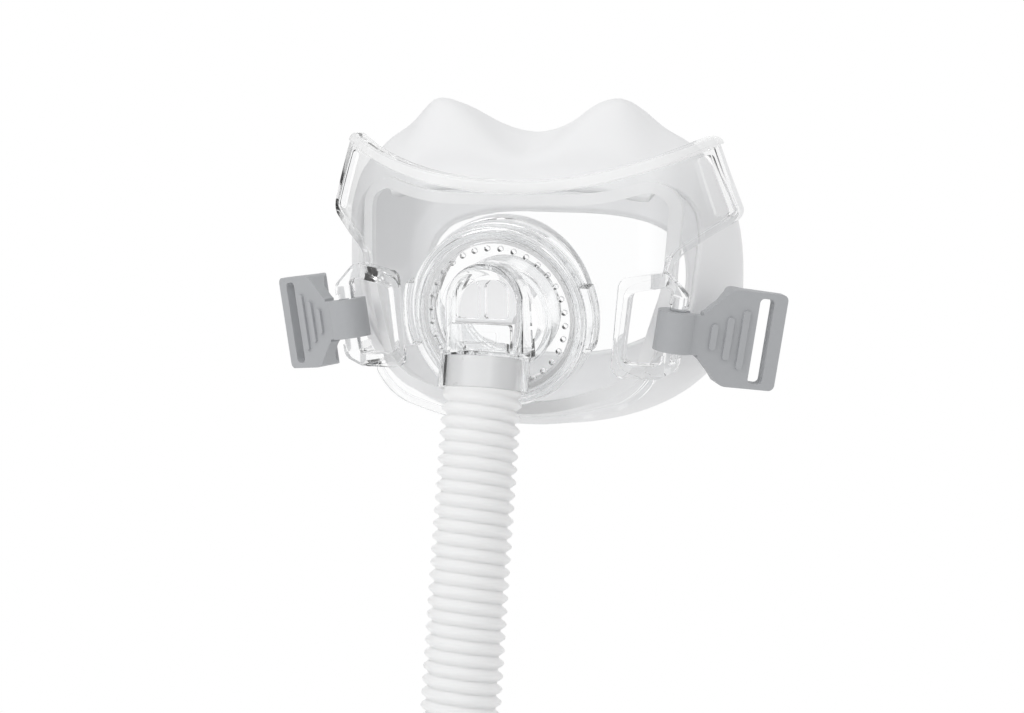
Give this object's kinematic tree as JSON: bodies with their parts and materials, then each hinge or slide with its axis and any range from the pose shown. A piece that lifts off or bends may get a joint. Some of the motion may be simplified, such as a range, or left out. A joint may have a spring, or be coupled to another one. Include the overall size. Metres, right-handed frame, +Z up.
{
  "type": "cpap mask",
  "caption": "Clear breathing mask with a soft face cushion, a turning elbow with vent holes, a short hose and two strap clips.",
  "frame": {"origin": "centre of the seal plane, where the cushion meets the face", "axes": "+Y into the face, +Z up towards the nose, +X to the right as seen from in front"},
  "size_m": [0.1438, 0.1148, 0.3953],
  "materials": {
    "clear_plastic": "clear, polished",
    "silicone": "frosted, translucent",
    "cuff_plastic": "satin, translucent grey",
    "hose_plastic": "satin white",
    "grey_plastic": "fine matte"
  },
  "bodies": {
    "mask": {"frame": "clear_plastic", "cushion_ring": "clear_plastic", "cushion": "silicone", "port_seal": "silicone", "vent_ring": "clear_plastic", "lock_ring": "clear_plastic"},
    "elbow": {"elbow": "clear_plastic", "valve_clip": "clear_plastic", "hose_cuff_upper": "cuff_plastic", "hose_tube": "hose_plastic", "hose_cuff_lower": "cuff_plastic"},
    "valve_flap": {"valve_flap": "silicone"},
    "connector": {"swivel_connector": "clear_plastic"},
    "clip_right": {"clip_right": "grey_plastic"},
    "clip_left": {"clip_left": "grey_plastic"}
  },
  "joints": [
    {"name": "elbow_turn", "type": "hinge", "parent": "mask", "child": "elbow", "pos_m": [0, -0.048, -0.003], "axis": [0, -0.9863, -0.165], "continuous": true},
    {"name": "flap_swing", "type": "hinge", "parent": "elbow", "child": "valve_flap", "pos_m": [0, -0.0634, -0.0038], "axis": [-1, 0, 0], "range_deg": [-33, 22], "stiffness_Nm_per_rad": 0.0005},
    {"name": "connector_swivel", "type": "hinge", "parent": "elbow", "child": "connector", "pos_m": [0, -0.10151, -0.31866], "axis": [0, -0.0349, -0.9994], "continuous": true},
    {"name": "clip_right_swing", "type": "hinge", "parent": "mask", "child": "clip_right", "pos_m": [0.0452, -0.0455, -0.0068], "axis": [0.1513, 0, 0.9885], "range_deg": [-70, 20]},
    {"name": "clip_left_swing", "type": "hinge", "parent": "mask", "child": "clip_left", "pos_m": [-0.0452, -0.0455, -0.0068], "axis": [0.1513, 0, -0.9885], "range_deg": [-70, 20]}
  ]
}
